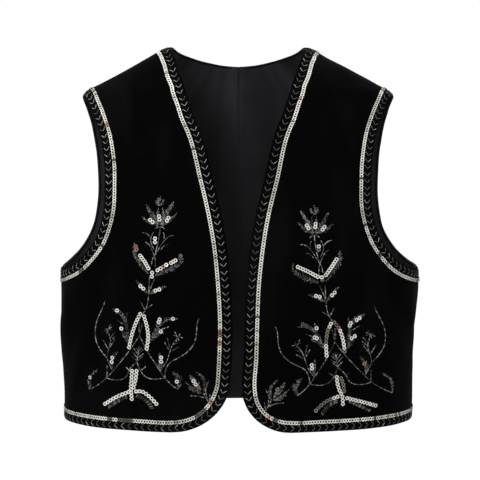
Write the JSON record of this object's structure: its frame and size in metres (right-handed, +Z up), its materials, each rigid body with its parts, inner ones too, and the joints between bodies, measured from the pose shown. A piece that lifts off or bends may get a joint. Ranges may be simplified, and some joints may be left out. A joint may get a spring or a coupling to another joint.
{
  "type": "embroidered vest",
  "caption": "Cropped open-front sleeveless vest of black velvet with folk embroidery, sequin-edged borders and a satin-lined back, filled out as worn.",
  "frame": {"origin": "midway between the two points where the shoulders meet the neck, where the vest hangs from its wearer", "axes": "+Z up along the body, the two fronts face -Y, the wearer's left side lies at +X"},
  "size_m": [0.4048, 0.2087, 0.4205],
  "materials": {
    "black_velvet": "matte pile",
    "charcoal_satin": "satin",
    "silver_sequins": "glossy, pearly"
  },
  "bodies": {
    "root": {"front_right": "black_velvet", "front_left": "black_velvet", "back": "black_velvet", "back_lining": "charcoal_satin", "sequins_front_edge_right": "silver_sequins", "sequins_front_edge_left": "silver_sequins", "sequins_front_armhole_right": "silver_sequins", "sequins_front_armhole_left": "silver_sequins", "sequins_back_armhole_right": "silver_sequins", "sequins_back_armhole_left": "silver_sequins", "sequins_back_neck": "silver_sequins", "sequins_back_hem": "silver_sequins"}
  },
  "joints": []
}
